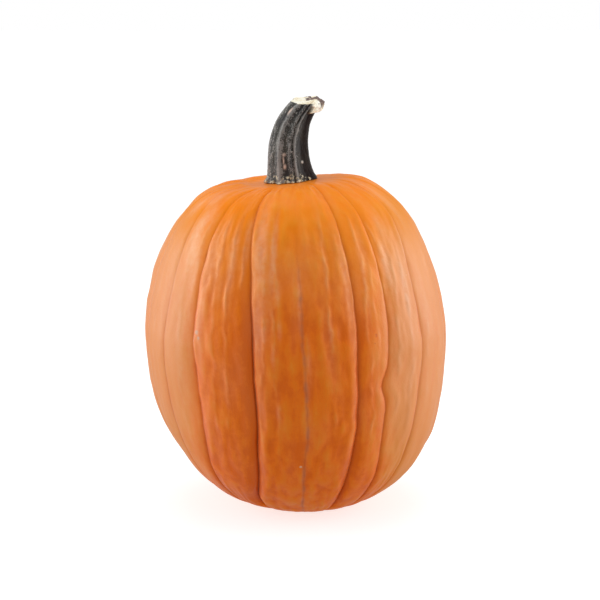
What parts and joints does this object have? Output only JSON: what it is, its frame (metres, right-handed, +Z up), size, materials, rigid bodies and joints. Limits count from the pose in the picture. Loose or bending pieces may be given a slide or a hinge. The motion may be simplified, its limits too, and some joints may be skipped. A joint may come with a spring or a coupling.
{
  "type": "pumpkin",
  "caption": "Barrel-shaped ribbed pumpkin with a curved, cut woody stem, standing upright on the flat spot round its blossom end.",
  "frame": {"origin": "on the ground, under the middle of the fruit's width and depth", "axes": "+Z up from the blossom end to the stem, and +X the way the stem curves"},
  "size_m": [0.2692, 0.2688, 0.3625],
  "materials": {
    "rind": "satin",
    "stem": "matte"
  },
  "bodies": {
    "root": {"fruit": "rind", "stem": "stem"}
  },
  "joints": []
}
